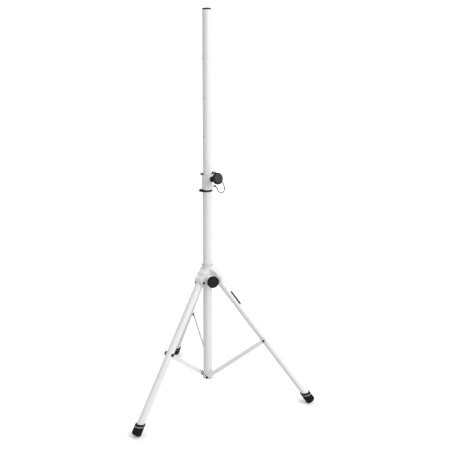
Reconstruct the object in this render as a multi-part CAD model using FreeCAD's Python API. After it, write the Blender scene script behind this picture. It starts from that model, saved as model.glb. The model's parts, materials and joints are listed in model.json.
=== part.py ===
import FreeCAD, Part
import math
import os

# Telescopic tripod stand for a loudspeaker.
# Millimetres, +Z up, floor at z = 0, origin under the middle of the footprint box.
# Leg C points along +Y, leg A to the front left (210 deg), leg B to the front right (330 deg).

V = FreeCAD.Vector

# ---------------------------------------------------------------- driving dimensions
AXIS_Y = -108.65          # column axis, measured from the middle of the footprint box
LEGS = {"a": 210.0, "b": 330.0, "c": 90.0}   # leg directions, degrees from +X

# column (outer tube)
TUBE_R = 19.0             # 38 mm tube
TUBE_RI = 17.8
TUBE_Z0, TUBE_Z1 = 87.0, 962.0
COLLAR_R = 21.6
COLLAR_Z0, COLLAR_Z1 = 913.5, 972.7
STOP_Z0, STOP_Z1 = 906.0, 913.5
STOP_R, STOP_E_R, STOP_E = 21.5, 13.0, 21.2  # round part, narrower end and its offset to -X
BUSH_Z0, BUSH_Z1 = 962.0, 971.0

# mast (inner tube, the 35 mm pole that carries the loudspeaker)
MAST_R, MAST_RI = 17.5, 16.0
MAST_Z0, MAST_Z1 = 722.0, 1611.0
TOP_Z = 1616.6
RUN = 0.06                # radial running clearance
HOLE_Z = [827.8, 977.8, 1127.8, 1277.8, 1427.8]   # 150 mm apart, pin sits in the second
SOCKET_MARK_Z = 1511.0    # shallow rolled ring, 100 mm below the tube's top
PIN_R = 4.6
PIN_Z = 977.8

# clamp and hub knobs
KNOB_R, KNOB_T = 23.6, 11.0
HUBK_R = 24.5
PLATE_IN = 4.6            # rim width around the knob's face plate
KNOB_FRONT = 71.0         # distance of the knob's face from the column axis
CLAMP_AZ, CLAMP_Z, CLAMP_TILT = 290.0, 957.0, 15.0
HUBK_AZ, HUBK_Z = 270.0, 540.0

# tripod hub
HUB_R, HUB_RI = 23.0, 20.6
HUB_Z0, HUB_Z1 = 503.0, 597.0
PIV_R, PIV_Z = 47.7, 530.8          # leg pivot: distance from the axis, height
GAP_H, CHEEK_H = 15.5, 19.0         # half width of the leg slot and of the yoke

# legs
LEG_R, LEG_RI = 15.0, 13.8
END_R, END_Z = 442.1, 9.1           # where the leg's axis meets the sole
JOINT_S = 315.2                     # leg pivot to brace bolt, along the leg
FOOT_R, FOOT_LEN = 19.6, 48.0
FOLD_TILT = 3.0                     # leg's tilt from vertical when folded

# braces
BR_Z = 95.0                         # height of the brace pivots on the column
BR_Y0, BR_Y1 = -20.4, -23.4         # the flat bar lies beside the leg, clockwise side
BR_W = 19.0

# lanyard: wire rope in a black jacket
CORD_D = 3.8
LOOP_AZ = -20.4
# distance from the column axis along LOOP_AZ, distance to its left, height
CORD = [(31.0, 0.0, 925.6), (36.8, 0.1, 920.6), (41.2, 0.5, 913.0), (43.2, 1.0, 904.6), (50.6, 1.6, 897.2),
        (61.2, 2.4, 897.2), (68.4, 3.4, 905.0), (69.0, 4.6, 915.6), (67.2, 5.9, 926.0), (62.8, 7.3, 935.4),
        (56.3, 8.7, 943.0), (49.0, 10.0, 948.4), (41.6, 11.1, 953.2), (36.6, 12.1, 959.6), (34.6, 12.9, 966.6)]

leg_dx, leg_dz = END_R - PIV_R, END_Z - PIV_Z
LEG_L = math.hypot(leg_dx, leg_dz)
LD = V(leg_dx / LEG_L, 0, leg_dz / LEG_L)           # down the leg
LN = V(-LD.z, 0, LD.x)                              # up and outwards, square to the leg
PIV = V(PIV_R, 0, PIV_Z)
JNT = PIV + LD * JOINT_S
EY = V(0, 1, 0)

os.makedirs("parts", exist_ok=True)
NODES = {}


# ---------------------------------------------------------------- helpers
def cyl(p, d, r, h):
    return Part.makeCylinder(r, h, p, d)


def cone(p, d, r1, r2, h):
    return Part.makeCone(r1, r2, h, p, d)


def zcyl(r, z0, z1):
    return cyl(V(0, 0, z0), V(0, 0, 1), r, z1 - z0)


def ring(ro, ri, z0, z1):
    return zcyl(ro, z0, z1).cut(zcyl(ri, z0 - 1, z1 + 1))


def box(x0, x1, y0, y1, z0, z1):
    return Part.makeBox(x1 - x0, y1 - y0, z1 - z0, V(x0, y0, z0))


def prism(pts, y0, y1):
    w = Part.makePolygon([V(x, y0, z) for x, z in pts] + [V(pts[0][0], y0, pts[0][1])])
    return Part.Face(w).extrude(V(0, y1 - y0, 0))


def revolve_z(pts):
    w = Part.makePolygon([V(r, 0, z) for r, z in pts] + [V(pts[0][0], 0, pts[0][1])])
    return Part.Face(w).revolve(V(0, 0, 0), V(0, 0, 1), 360)


def revolve_about(pts, p, d):
    """pts are (distance along d, radius)."""
    s = revolve_z([(r, z) for z, r in pts])
    rot = FreeCAD.Rotation(V(0, 0, 1), d)
    s.Placement = FreeCAD.Placement(p, rot)
    return s


def turn(shape, az):
    s = shape.copy()
    s.rotate(V(0, 0, 0), V(0, 0, 1), az)
    return s


def fuse(*shapes):
    out = shapes[0].fuse(list(shapes[1:]))
    return out.removeSplitter()


def put(name, solids):
    """Shift to the row frame and keep each solid separate."""
    if not isinstance(solids, (list, tuple)):
        solids = [solids]
    flat = []
    for s in solids:
        flat.extend(s.Solids)
    moved = []
    for s in flat:
        c = s.copy()
        c.translate(V(0, AXIS_Y, 0))
        moved.append(c)
    shape = moved[0] if len(moved) == 1 else Part.makeCompound(moved)
    NODES[name] = shape


def az_dir(az):
    a = math.radians(az)
    return V(math.cos(a), math.sin(a), 0)


def each(shape):
    return [turn(shape, LEGS[k]) for k in "abc"]


# ---------------------------------------------------------------- knobs
def knob(origin, d, stem_from, stem_r, head_r, lobes, phase):
    """Mushroom clamping knob: origin on the column axis, d outwards."""
    f = KNOB_FRONT
    b = f - KNOB_T
    c = head_r - PLATE_IN
    body = revolve_about([(stem_from, 4.06), (stem_from, stem_r), (stem_from + 12, stem_r + 0.8), (b - 3, stem_r + 1.6),
                          (b, 15.0), (b, head_r - 1.8), (b + 1.6, head_r), (f - 2.0, head_r),
                          (f - 0.5, head_r - 1.4), (f, head_r - 3.2), (f, c + 0.1), (f - 1.6, c + 0.1), (f - 1.6, 4.06)],
                         origin, d)
    side = V(0, 0, 1) - d * d.z
    side.normalize()
    if lobes:
        for i in range(lobes):
            a = math.radians(phase + 360.0 * i / lobes)
            u = side * math.cos(a) + d.cross(side) * math.sin(a)
            body = body.cut(cyl(origin + d * (b - 2) + u * (head_r + 13.4), d, 14.0, KNOB_T + 4))
    cap = revolve_about([(f - 1.6, 0), (f - 1.6, c), (f - 0.5, c), (f, c - 1.2), (f + 0.5, 0)], origin, d)
    return body, cap


def screw(origin, d, start, end):
    tip = revolve_about([(start, 0), (start, 3.2), (start + 0.8, 4.0), (end, 4.0), (end, 0)], origin, d)
    return tip


# ---------------------------------------------------------------- column
cl_t = math.radians(CLAMP_TILT)
cl_d = az_dir(CLAMP_AZ) * math.cos(cl_t) + V(0, 0, math.sin(cl_t))
# the clamp axis passes through the collar surface at CLAMP_Z
cl_o = V(0, 0, CLAMP_Z - COLLAR_R * math.tan(cl_t))
hb_d = az_dir(HUBK_AZ)
hb_o = V(0, 0, HUBK_Z)

outer = ring(TUBE_R, TUBE_RI, TUBE_Z0, TUBE_Z1)
for k in "abc":
    outer = outer.cut(turn(cyl(V(0, 0, BR_Z), V(0, -1, 0), 3.0, 30), LEGS[k]))
outer = outer.cut(cyl(cl_o, cl_d, 5.2, 40))
put("outer_tube", outer)

collar = revolve_z([(TUBE_R, COLLAR_Z0), (COLLAR_R - 0.8, COLLAR_Z0), (COLLAR_R, COLLAR_Z0 + 0.8),
                    (COLLAR_R, 926.6), (COLLAR_R - 0.8, 927.4), (COLLAR_R - 0.8, 929.0), (COLLAR_R, 929.8),
                    (COLLAR_R, COLLAR_Z1 - 1.6), (COLLAR_R - 1.6, COLLAR_Z1), (18.2, COLLAR_Z1), (18.2, BUSH_Z1),
                    (TUBE_R, BUSH_Z1)])
boss = cyl(cl_o + cl_d * 15, cl_d, 13.0, 15).cut(zcyl(TUBE_R, 900, 1000))
lug = Part.makeBox(8.6, 8.0, 12.0, V(19.6, -4.0, 919.6))
lug = turn(lug.cut(zcyl(TUBE_R, 900, 1000)), LOOP_AZ)
lug = lug.cut(Part.makeSphere(4.6, az_dir(LOOP_AZ) * 31.0 + V(0, 0, 925.6)))
collar = fuse(collar, boss, lug)
collar = collar.cut(cyl(cl_o, cl_d, 6.5, 60))
put("clamp_collar", collar)
put("clamp_nut", cyl(cl_o + cl_d * 23.0, cl_d, 6.5, 6.6).cut(cyl(cl_o, cl_d, 4.06, 60)))
put("clamp_pad", cyl(cl_o + cl_d * 17.4, cl_d, 5.1, 1.9).cut(zcyl(MAST_R + 0.3, 900, 1000)))
put("collar_bush", ring(TUBE_R, MAST_R + RUN, BUSH_Z0, BUSH_Z1))

# two round ends joined by their outer tangents
tan_a = math.acos((STOP_R - STOP_E_R) / STOP_E)
t1 = (-STOP_R * math.cos(tan_a), STOP_R * math.sin(tan_a))
t2 = (-STOP_E - STOP_E_R * math.cos(tan_a), STOP_E_R * math.sin(tan_a))
flank = Part.makePolygon([V(x, y, STOP_Z0) for x, y in (t1, t2, (t2[0], -t2[1]), (t1[0], -t1[1]), t1)])
stop_pts = fuse(zcyl(STOP_R, STOP_Z0, STOP_Z1),
                cyl(V(-STOP_E, 0, STOP_Z0), V(0, 0, 1), STOP_E_R, STOP_Z1 - STOP_Z0),
                Part.Face(flank).extrude(V(0, 0, STOP_Z1 - STOP_Z0)))
edges = [e for e in stop_pts.Edges if abs(e.CenterOfMass.z - STOP_Z0) < 0.01 or abs(e.CenterOfMass.z - STOP_Z1) < 0.01]
try:
    s2 = stop_pts.makeFillet(1.4, edges)
    if s2.isValid() and s2.Volume > 1:
        stop_pts = s2
except Exception:
    pass
put("stop_ring", stop_pts.cut(zcyl(TUBE_R, 890, 930)))

plug = revolve_z([(0, 84.0), (18.4, 84.0), (20.0, 85.4), (20.0, 87.0), (TUBE_RI, 87.0), (TUBE_RI, 116.0), (0, 116.0)])
for k in "abc":
    plug = plug.cut(turn(cyl(V(0, -8, BR_Z), V(0, -1, 0), 3.0, 30), LEGS[k]))
put("bottom_plug", plug)
bolt = fuse(cyl(V(0, -8, BR_Z), V(0, -1, 0), 3.0, 15.8),
            revolve_about([(23.7, 0), (23.7, 5.6), (25.4, 5.4), (26.8, 3.6), (27.2, 0)], V(0, 0, BR_Z), V(0, -1, 0)))
put("brace_pivot_bolts", each(bolt))
sp = cyl(V(0, -12, BR_Z), V(0, -1, 0), 10.5, 8.2).cut(zcyl(TUBE_R, 80, 120)).cut(cyl(V(0, 0, BR_Z), V(0, -1, 0), 3.0, 40))
sp = sp.cut(box(-40, 40, -40, 40, 80, TUBE_Z0 + 0.2))
put("brace_pivot_spacers", each(sp))

# lanyard anchor and wire
la = az_dir(LOOP_AZ)
lb = az_dir(LOOP_AZ + 90)
cord_pts = [la * a + lb * b + V(0, 0, z) for a, b, z in CORD]
d0 = (cord_pts[1] - cord_pts[0])
d0.normalize()
mouth = math.asin(CORD_D / 2 / 4.5)          # where the ball meets the wire's bore
ball = [(-4.5, 0)] + [(4.5 * math.cos(a), 4.5 * math.sin(a))
                      for a in [math.pi - (math.pi - mouth) * i / 14 for i in range(1, 15)]]
put("lanyard_crimp", revolve_about(ball + [(3.0, CORD_D / 2), (3.0, 0)], cord_pts[0], d0))


def cord_tube(pts, dia, start):
    """Straight runs joined by tangent arcs, swept as one tube."""
    pts = [V(p) for p in pts]
    pts[0] = pts[0] + (pts[1] - pts[0]).normalize() * start
    edges_, radii = [], []
    cur = pts[0]
    for i in range(1, len(pts) - 1):
        a, b, c = pts[i - 1], pts[i], pts[i + 1]
        u, v = (a - b), (c - b)
        lu, lv = u.Length, v.Length
        u.normalize()
        v.normalize()
        ang = math.acos(max(-1, min(1, u.dot(v))))
        half = (math.pi - ang) / 2
        t = 0.45 * min(lu, lv)
        r = t / math.tan(half)
        radii.append(r)
        p1, p2 = b + u * t, b + v * t
        bis = (u + v).normalize()
        cen = b + bis * math.hypot(r, t)
        mid = cen - bis * r
        edges_.append(Part.LineSegment(cur, p1).toShape())
        edges_.append(Part.Arc(p1, mid, p2).toShape())
        cur = p2
    edges_.append(Part.LineSegment(cur, pts[-1]).toShape())
    wire = Part.Wire(edges_)
    t0 = (pts[1] - pts[0]).normalize()
    circ = Part.Wire([Part.makeCircle(dia / 2, pts[0], t0)])
    tube = wire.makePipeShell([circ], True, False)
    if not tube.isValid() or not tube.Solids:
        tube = Part.Solid(tube)
    want = math.pi * dia * dia / 4 * wire.Length
    print("cord length %.1f  volume %.1f of %.1f  least radius %.1f" % (wire.Length, tube.Volume, want, min(radii)),
          "radii", [round(x, 1) for x in radii])
    return tube


put("lanyard_wire", cord_tube(cord_pts, CORD_D, 3.0))

# ---------------------------------------------------------------- mast
mast = revolve_z([(MAST_RI, MAST_Z0), (MAST_R, MAST_Z0), (MAST_R, SOCKET_MARK_Z - 1.4), (MAST_R - 0.35, SOCKET_MARK_Z - 0.7),
                  (MAST_R - 0.35, SOCKET_MARK_Z - 0.3), (MAST_R, SOCKET_MARK_Z), (MAST_R, MAST_Z1), (MAST_RI, MAST_Z1)])
for z in HOLE_Z:
    mast = mast.cut(cyl(V(-30, 0, z), V(1, 0, 0), PIN_R + RUN, 60))
put("mast_tube", mast)
put("top_cap", revolve_z([(0, 1580.0), (MAST_RI, 1580.0), (MAST_RI, MAST_Z1), (MAST_R - 0.25, MAST_Z1), (MAST_R - 0.25, TOP_Z - 3.2),
                          (MAST_R - 1.1, TOP_Z - 1.4), (MAST_R - 3.5, TOP_Z - 0.4), (0, TOP_Z)]))
put("mast_guide_bush", revolve_z([(8.0, 710.0), (TUBE_RI - RUN - 0.6, 710.0), (TUBE_RI - RUN, 710.6), (TUBE_RI - RUN, MAST_Z0),
                                  (MAST_RI, MAST_Z0), (MAST_RI, 752.0), (8.0, 752.0)]))

# ---------------------------------------------------------------- safety pin
px0 = -29.0
pin = revolve_about([(0, 0), (0, 3.2), (1.4, PIN_R), (51.3, PIN_R), (51.3, 6.9), (53.8, 6.9), (53.8, PIN_R), (66.1, PIN_R),
                     (67.5, 3.4), (67.5, 0)], V(px0, 0, PIN_Z), V(1, 0, 0))
EYE_X = 36.9
pin = pin.cut(Part.makeTorus(5.4, 1.15, V(EYE_X, 0, PIN_Z - 4.0), V(1, 0, 0)))
put("safety_pin", pin)
eye = Part.makeTorus(5.4, 1.0, V(EYE_X, 0, PIN_Z - 4.0), V(1, 0, 0))
put("pin_eye", eye)

# ---------------------------------------------------------------- knobs
body, cap = knob(cl_o, cl_d, 31.0, 11.2, KNOB_R, 8, 0)
put("clamp_knob_head", body)
put("clamp_knob_cap", cap)
put("clamp_screw", screw(cl_o, cl_d, 19.6, KNOB_FRONT - 1.6))
body, cap = knob(hb_o, hb_d, 34.0, 9.2, HUBK_R, 8, 22.5)
put("hub_knob_head", body)
put("hub_knob_cap", cap)
put("hub_screw", screw(hb_o, hb_d, 21.0, KNOB_FRONT - 1.6))

# ---------------------------------------------------------------- tripod hub
sleeve = revolve_z([(HUB_RI, HUB_Z0), (HUB_R - 0.8, HUB_Z0), (HUB_R, HUB_Z0 + 0.8), (HUB_R, 592.0), (HUB_R + 0.6, 592.8),
                    (HUB_R + 0.6, HUB_Z1 - 0.8), (HUB_R - 0.2, HUB_Z1), (HUB_RI, HUB_Z1)])
lugp = prism([(15, 505), (15, 586), (22, 581.5), (30, 576), (38, 571.2), (42.6, 566.4), (45.0, 559.2), (50, 555.4), (56, 552.4), (60.4, 546.2), (63.2, 538),
              (63.2, 530.8), (61, 522), (55, 516), (47.7, 514), (38, 511), (28, 505)], -CHEEK_H, CHEEK_H)
lugp = fuse(lugp, cyl(PIV + V(0, -CHEEK_H, 0), EY, 15.6, 2 * CHEEK_H))
slot = cyl(PIV + V(0, -GAP_H, 0), EY, 15.6, 2 * GAP_H)
slot = slot.fuse(box(31.6, 80, -GAP_H, GAP_H, 480, PIV_Z))
for ang in (FOLD_TILT, 12.0, 21.0, 29.0, math.degrees(math.acos(-LD.z))):
    a = math.radians(ang)
    u, n = V(math.sin(a), 0, -math.cos(a)), V(math.cos(a), 0, math.sin(a))
    q = [PIV + n * 15.6, PIV + n * 15.6 + u * 60, PIV - n * 15.6 + u * 60, PIV - n * 15.6]
    slot = slot.fuse(prism([(p.x, p.z) for p in q], -GAP_H, GAP_H))
slot = slot.removeSplitter()
try:
    ee = [e for e in lugp.Edges if abs(abs(e.CenterOfMass.y) - CHEEK_H) < 0.01 and e.CenterOfMass.x > 24]
    l2 = lugp.makeFillet(3.0, ee)
    if l2.isValid() and l2.Volume > 1:
        lugp = l2
        print('lug fillet done')
except Exception:
    pass
boss = turn(cyl(V(0, 0, HUBK_Z), V(1, 0, 0), 13.0, 33.0), HUBK_AZ)
hub = fuse(sleeve, boss, *each(lugp))
hub = hub.cut(zcyl(HUB_RI, 480, 620))
for s in each(slot):
    hub = hub.cut(s)
for k in "abc":
    hub = hub.cut(turn(cyl(PIV + V(0, -30, 0), EY, 4.0, 60), LEGS[k]))
hub = hub.cut(cyl(hb_o, hb_d, 6.5, 60))
put("tripod_hub", hub)
bush = ring(HUB_RI, TUBE_R + RUN, HUB_Z0, 521.0)
put("hub_bushes", [bush, ring(HUB_RI, TUBE_R + RUN, 574.0, HUB_Z1)])
put("hub_nut", cyl(hb_o + hb_d * 24.0, hb_d, 6.5, 8.0).cut(cyl(hb_o, hb_d, 4.06, 60)))
put("hub_pad", cyl(hb_o + hb_d * 18.4, hb_d, 5.8, 2.4).cut(zcyl(TUBE_R + 0.3, 500, 580)))
pb = fuse(cyl(PIV + V(0, -CHEEK_H, 0), EY, 4.0, 2 * CHEEK_H),
          revolve_about([(CHEEK_H, 0), (CHEEK_H, 5.6), (CHEEK_H + 2.0, 5.3), (CHEEK_H + 3.4, 3.4), (CHEEK_H + 3.7, 0)], PIV, EY))
put("leg_pivot_bolts", each(pb))
pn = revolve_about([(CHEEK_H, 0), (CHEEK_H, 6.0), (CHEEK_H + 2.2, 6.0), (CHEEK_H + 3.2, 4.0), (CHEEK_H + 3.4, 0)], PIV, V(0, -1, 0))
put("leg_pivot_caps", each(pn))

# ---------------------------------------------------------------- legs
knuckle = cyl(PIV, LD, LEG_R, 18.0)
knuckle = knuckle.fuse(cyl(PIV - LD * 20, LD, LEG_R, 20.0).common(cyl(PIV + V(0, -20, 0), EY, LEG_R, 40)))
knuckle = fuse(knuckle, cyl(PIV + LD * 10, LD, LEG_RI, 36.0)).cut(cyl(PIV + V(0, -30, 0), EY, 4.06, 60))
tube_s1 = LEG_L - 18.0
leg_tube = cyl(PIV + LD * 18.0, LD, LEG_R, tube_s1 - 18.0).cut(cyl(PIV + LD * 10, LD, LEG_RI, LEG_L))
leg_tube = leg_tube.cut(cyl(JNT + V(0, -30, 0), EY, 3.0, 60))

RIM_S = LEG_L - FOOT_LEN            # where the boot's rim crosses the leg's axis
S_END = LEG_L + 1.2
boot = revolve_about([(RIM_S - 16, 0), (RIM_S - 16, FOOT_R), (S_END - 7.0, FOOT_R), (S_END - 4.0, FOOT_R - 0.9), (S_END - 1.2, FOOT_R - 3.2),
                      (S_END + 1.0, FOOT_R - 7.0), (S_END + 2.3, FOOT_R - 13.0), (S_END + 2.5, 0)], PIV, LD)
boot = boot.cut(cyl(PIV, LD, LEG_R, tube_s1))
rim_t = math.radians(12.0)          # the rim is cut slantwise, nearly level with the floor
rim_n = V(math.sin(rim_t), 0, -math.cos(rim_t))


def slab(s, thick):
    """Big disc square to rim_n, starting where the leg's axis has length s."""
    p = PIV + LD * s
    return cyl(p, rim_n, 90.0, thick)


boot = boot.common(slab(RIM_S, 120))
groove_s = RIM_S + 9.0
groove = slab(groove_s, 3.4).cut(cyl(PIV, LD, FOOT_R - 1.2, LEG_L + 50))
boot = boot.cut(groove)
boot = boot.common(box(-100, 700, -60, 60, 0, 300))
fring = slab(groove_s, 3.4).common(cyl(PIV + LD * (RIM_S - 20), LD, FOOT_R + 0.2, FOOT_LEN + 10)).cut(
    cyl(PIV, LD, FOOT_R - 1.2, LEG_L + 50))

spacer = cyl(JNT + V(0, -12, 0), V(0, -1, 0), 7.5, 8.1).cut(cyl(PIV, LD, LEG_R, LEG_L))
head = fuse(cyl(JNT + V(0, 14.0, 0), EY, 7.0, 1.9).cut(cyl(PIV, LD, LEG_R, LEG_L)),
            revolve_about([(15.9, 0), (15.9, 6.4), (18.0, 6.2), (19.6, 4.4), (20.2, 0)], JNT, EY))
jbolt = fuse(cyl(JNT + V(0, -20.1, 0), EY, 3.0, 36.0), head)
spacer = spacer.cut(cyl(JNT + V(0, -30, 0), EY, 3.0, 60))

label = cyl(PIV + LD * 67.8, LD, LEG_R + 0.22, 66.1).cut(cyl(PIV, LD, LEG_R, LEG_L))
lc = PIV + LD * 101.0
a_l = math.radians(65.5)            # the stripe faces up and a little to the clockwise side
nl = LN * math.sin(a_l) + V(0, -1, 0) * math.cos(a_l)
tl = nl.cross(LD)
rot = FreeCAD.Rotation(LD, tl, nl, "XYZ")
blk = Part.makeBox(80, 10.4, 30, V(-40, -5.2, 0))
blk.Placement = FreeCAD.Placement(lc, rot)
label = label.common(blk)

for k in "abc":
    az = LEGS[k]
    put("leg_%s_tube" % k, turn(leg_tube, az))
    put("leg_%s_knuckle" % k, turn(knuckle, az))
    put("leg_%s_foot" % k, turn(boot, az))
    put("leg_%s_foot_band" % k, turn(fring, az))
    put("leg_%s_brace_bolt" % k, [turn(jbolt, az)])
    put("leg_%s_brace_spacer" % k, [turn(spacer, az)])
put("leg_b_stripe", turn(label, LEGS["b"]))

# ---------------------------------------------------------------- braces
b0 = V(0, 0, BR_Z)
bd = V(JNT.x, 0, JNT.z - BR_Z)
BR_L = bd.Length
bd.normalize()
bn = V(-bd.z, 0, bd.x)
w = BR_W / 2
q = [b0 + bn * w, b0 + bd * BR_L + bn * w, b0 + bd * BR_L - bn * w, b0 - bn * w]
bar = prism([(p.x, p.z) for p in q], BR_Y1, BR_Y0)
bar = fuse(bar, cyl(b0 + V(0, BR_Y1, 0), EY, w, BR_Y0 - BR_Y1), cyl(b0 + bd * BR_L + V(0, BR_Y1, 0), EY, w, BR_Y0 - BR_Y1))
bar = bar.cut(cyl(b0 + V(0, -40, 0), EY, 3.06, 60)).cut(cyl(b0 + bd * BR_L + V(0, -40, 0), EY, 3.0, 60))
bhead = fuse(cyl(JNT + V(0, BR_Y1, 0), EY, 3.0, BR_Y0 - BR_Y1),
             revolve_about([(-BR_Y1, 0), (-BR_Y1, 5.4), (-BR_Y1 + 1.6, 5.1), (-BR_Y1 + 2.8, 3.2), (-BR_Y1 + 3.1, 0)], JNT, V(0, -1, 0)))
for k in "abc":
    put("brace_%s_bar" % k, turn(bar, LEGS[k]))
    put("brace_%s_bolt_head" % k, turn(bhead, LEGS[k]))

# ---------------------------------------------------------------- export and motion figures
for name, shape in NODES.items():
    if not shape.isValid():
        print("INVALID", name)
    shape.exportStep("parts/%s.step" % name)

fold = math.radians(FOLD_TILT)
jx = PIV_R + JOINT_S * math.sin(fold)
jz = BR_Z + math.sqrt(BR_L ** 2 - jx ** 2)
TRAVEL = jz + JOINT_S * math.cos(fold) - PIV_Z
LEG_TURN = math.acos(-LD.z) - fold
BRACE_TURN = math.atan2(jz - BR_Z, jx) - math.atan2(JNT.z - BR_Z, JNT.x)
print("nodes", len(NODES))
print("hub travel %.4f  leg turn %.4f deg  brace turn %.4f deg" % (TRAVEL, math.degrees(LEG_TURN), math.degrees(BRACE_TURN)))
allb = FreeCAD.BoundBox()
for s in NODES.values():
    allb.add(s.BoundBox)
print("box", [round(x, 2) for x in (allb.XMin, allb.XMax, allb.YMin, allb.YMax, allb.ZMin, allb.ZMax)])
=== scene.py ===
import json
import math

import bmesh
import bpy
from mathutils import Matrix, Vector
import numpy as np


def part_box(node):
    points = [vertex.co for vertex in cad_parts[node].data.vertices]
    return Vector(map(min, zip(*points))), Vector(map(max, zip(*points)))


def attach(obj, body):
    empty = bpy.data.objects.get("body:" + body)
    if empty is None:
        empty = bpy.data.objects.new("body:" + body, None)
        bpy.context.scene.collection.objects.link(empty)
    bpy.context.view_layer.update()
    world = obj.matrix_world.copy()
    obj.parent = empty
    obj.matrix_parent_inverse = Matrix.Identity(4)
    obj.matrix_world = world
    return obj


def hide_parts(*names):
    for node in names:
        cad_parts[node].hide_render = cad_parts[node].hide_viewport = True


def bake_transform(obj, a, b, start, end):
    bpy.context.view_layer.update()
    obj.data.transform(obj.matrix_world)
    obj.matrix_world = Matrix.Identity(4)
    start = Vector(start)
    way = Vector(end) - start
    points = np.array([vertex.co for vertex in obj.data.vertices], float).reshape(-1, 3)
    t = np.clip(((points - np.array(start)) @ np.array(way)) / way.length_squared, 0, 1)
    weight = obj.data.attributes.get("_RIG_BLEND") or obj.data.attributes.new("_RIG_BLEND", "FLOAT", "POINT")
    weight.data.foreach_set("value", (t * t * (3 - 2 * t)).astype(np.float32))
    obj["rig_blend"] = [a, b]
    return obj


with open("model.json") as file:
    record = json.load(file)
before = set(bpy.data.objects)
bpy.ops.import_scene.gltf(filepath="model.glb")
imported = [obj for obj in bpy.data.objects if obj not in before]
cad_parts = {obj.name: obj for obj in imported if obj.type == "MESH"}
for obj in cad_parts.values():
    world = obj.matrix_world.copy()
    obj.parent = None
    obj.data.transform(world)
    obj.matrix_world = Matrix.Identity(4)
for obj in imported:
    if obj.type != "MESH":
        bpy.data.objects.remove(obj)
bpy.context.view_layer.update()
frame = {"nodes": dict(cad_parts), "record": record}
NODES = frame["nodes"]

MM = 0.001
TAU = 2 * math.pi
lo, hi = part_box("outer_tube")
AX = Vector(((lo.x + hi.x) / 2, (lo.y + hi.y) / 2, 0))      # column axis
LEGS = {"a": 210.0, "b": 330.0, "c": 90.0}

# design figures of the CAD model, millimetres
PIV_R, PIV_Z, END_R, END_Z = 47.7, 530.8, 442.1, 9.1
JOINT_S, BR_Z, CHEEK_H = 315.2, 95.0, 19.0
FOOT_R, FOOT_LEN, LEG_R = 19.6, 48.0, 15.0
BR_Y1 = -23.4
PIN_Z, PIN_X0, EYE_X = 977.8, -29.0, 36.9
KNOB_F = 71.0
LEG_L = math.hypot(END_R - PIV_R, END_Z - PIV_Z)


# ------------------------------------------------------------------ frames of the pieces
def rot_z(deg):
    return Matrix.Rotation(math.radians(deg), 3, "Z")


def leg_frame(az):
    """Rotation of the leg's local frame: +X radial, +Y tangential, +Z up; origin on the column axis."""
    return rot_z(az)


def local(az, x, y, z):
    """Local millimetres of a leg's plane to row metres."""
    return AX + leg_frame(az) @ Vector((x, y, z)) * MM


def ax_point(x, y, z):
    return AX + Vector((x, y, z)) * MM


# ------------------------------------------------------------------ mesh helpers
def new_object(name, bm, body, smooth_deg=35.0, fix=True):
    if fix:
        bmesh.ops.recalc_face_normals(bm, faces=bm.faces)
    me = bpy.data.meshes.new(name)
    bm.to_mesh(me)
    bm.free()
    for p in me.polygons:
        p.use_smooth = True
    me.set_sharp_from_angle(angle=math.radians(smooth_deg))
    ob = bpy.data.objects.new(name, me)
    bpy.context.scene.collection.objects.link(ob)
    if body:
        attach(ob, body)
    return ob


def rounded(pts, rads, n=4):
    """Rounds the corners of a (s, r) profile. rads is one radius or one per point; extra fields of a point are kept."""
    out = []
    for i, p in enumerate(pts):
        rad = rads if isinstance(rads, (int, float)) else rads[i]
        extra = tuple(p[2:])
        if rad <= 0 or i in (0, len(pts) - 1):
            out.append(tuple(p))
            continue
        a, b, c = Vector(pts[i - 1][:2]), Vector(p[:2]), Vector(pts[i + 1][:2])
        u, v = a - b, c - b
        lu, lv = u.length, v.length
        if lu < 1e-9 or lv < 1e-9:
            out.append(tuple(p))
            continue
        u /= lu
        v /= lv
        ang = u.angle(v)
        if ang > math.radians(176):
            out.append(tuple(p))
            continue
        t = min(rad / math.tan(ang / 2), 0.48 * lu, 0.48 * lv)
        for k in range(n + 1):
            w = k / n
            q = (b + u * t) * (1 - w) ** 2 + b * 2 * w * (1 - w) + (b + v * t) * w ** 2
            out.append((q.x, q.y) + extra)
    return out


def hexagon(theta):
    """Radius factor of a hexagon of corner radius 1."""
    a = (theta + math.pi / 6) % (math.pi / 3) - math.pi / 6
    return math.cos(math.pi / 6) / math.cos(((theta) % (math.pi / 3)) - math.pi / 6) if a is not None else 1.0


def basis(d):
    d = Vector(d).normalized()
    side = Vector((0, 0, 1)) - d * d.z
    if side.length < 1e-4:
        side = Vector((1, 0, 0))
    side.normalize()
    return d, side, d.cross(side)


def lathe_into(bm, origin, d, rings, seg=64, lobe=None, phase=0.0, scale=MM):
    """Adds a turned shape. rings are (s, r) or (s, r, kind, amount); kind 'hex' is a hexagon, 'lobe' takes lobe(theta) times amount off."""
    d, u, v = basis(d)
    rows = []
    for ring in rings:
        s, r = ring[0], ring[1]
        kind = ring[2] if len(ring) > 2 else None
        amount = ring[3] if len(ring) > 3 else 1.0
        if r < 1e-6:
            rows.append([bm.verts.new(origin + d * (s * scale))])
            continue
        row = []
        for i in range(seg):
            th = TAU * i / seg
            rr = r
            if kind == "hex":
                rr = r * (1 + (hexagon(th + phase) - 1) * amount)
            elif kind == "lobe":
                rr = r - lobe(th + phase) * amount
            row.append(bm.verts.new(origin + (u * math.cos(th) + v * math.sin(th)) * (rr * scale) + d * (s * scale)))
        rows.append(row)
    for a, b in zip(rows, rows[1:]):
        if len(a) == 1 and len(b) == 1:
            continue
        if len(a) == 1:
            for i in range(seg):
                bm.faces.new((a[0], b[i], b[(i + 1) % seg]))
        elif len(b) == 1:
            for i in range(seg):
                bm.faces.new((a[i], b[0], a[(i + 1) % seg]))
        else:
            for i in range(seg):
                j = (i + 1) % seg
                bm.faces.new((a[i], b[i], b[j], a[j]))
    return rows


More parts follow.
